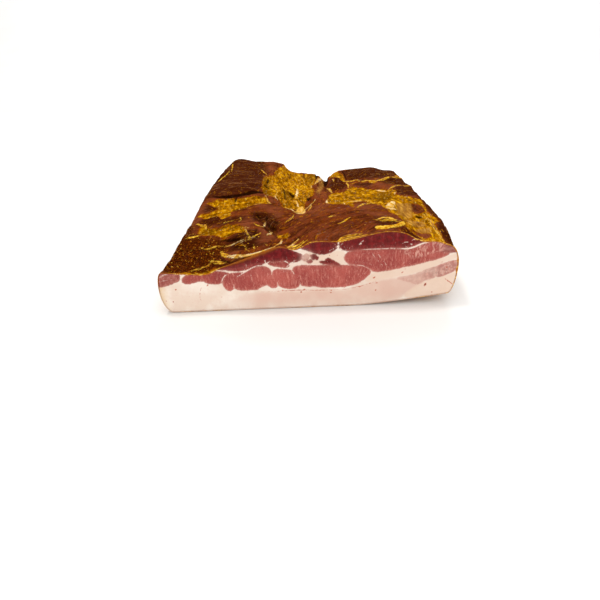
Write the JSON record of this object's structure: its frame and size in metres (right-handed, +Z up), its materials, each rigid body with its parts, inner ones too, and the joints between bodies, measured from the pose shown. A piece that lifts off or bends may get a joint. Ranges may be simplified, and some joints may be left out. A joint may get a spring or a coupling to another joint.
{
  "type": "smoked bacon",
  "caption": "Slab of smoked pork belly with a dark crust, cut across at the front to show layers of fat and lean; lies flat on its fat side.",
  "frame": {"origin": "under the middle of the slab, on the plane that it rests on", "axes": "+X along the cut face, to the right seen from the front; +Y from the cut face to the back end, the longest way; +Z up, through the slab's thickness"},
  "size_m": [0.2031, 0.231, 0.0586],
  "materials": {
    "smoked_meat": "dark brown smoked crust with golden fat, slightly shiny; the cut face is cream fat with rose and deep red lean"
  },
  "bodies": {
    "root": {"smoked_bacon": "smoked_meat"}
  },
  "joints": []
}
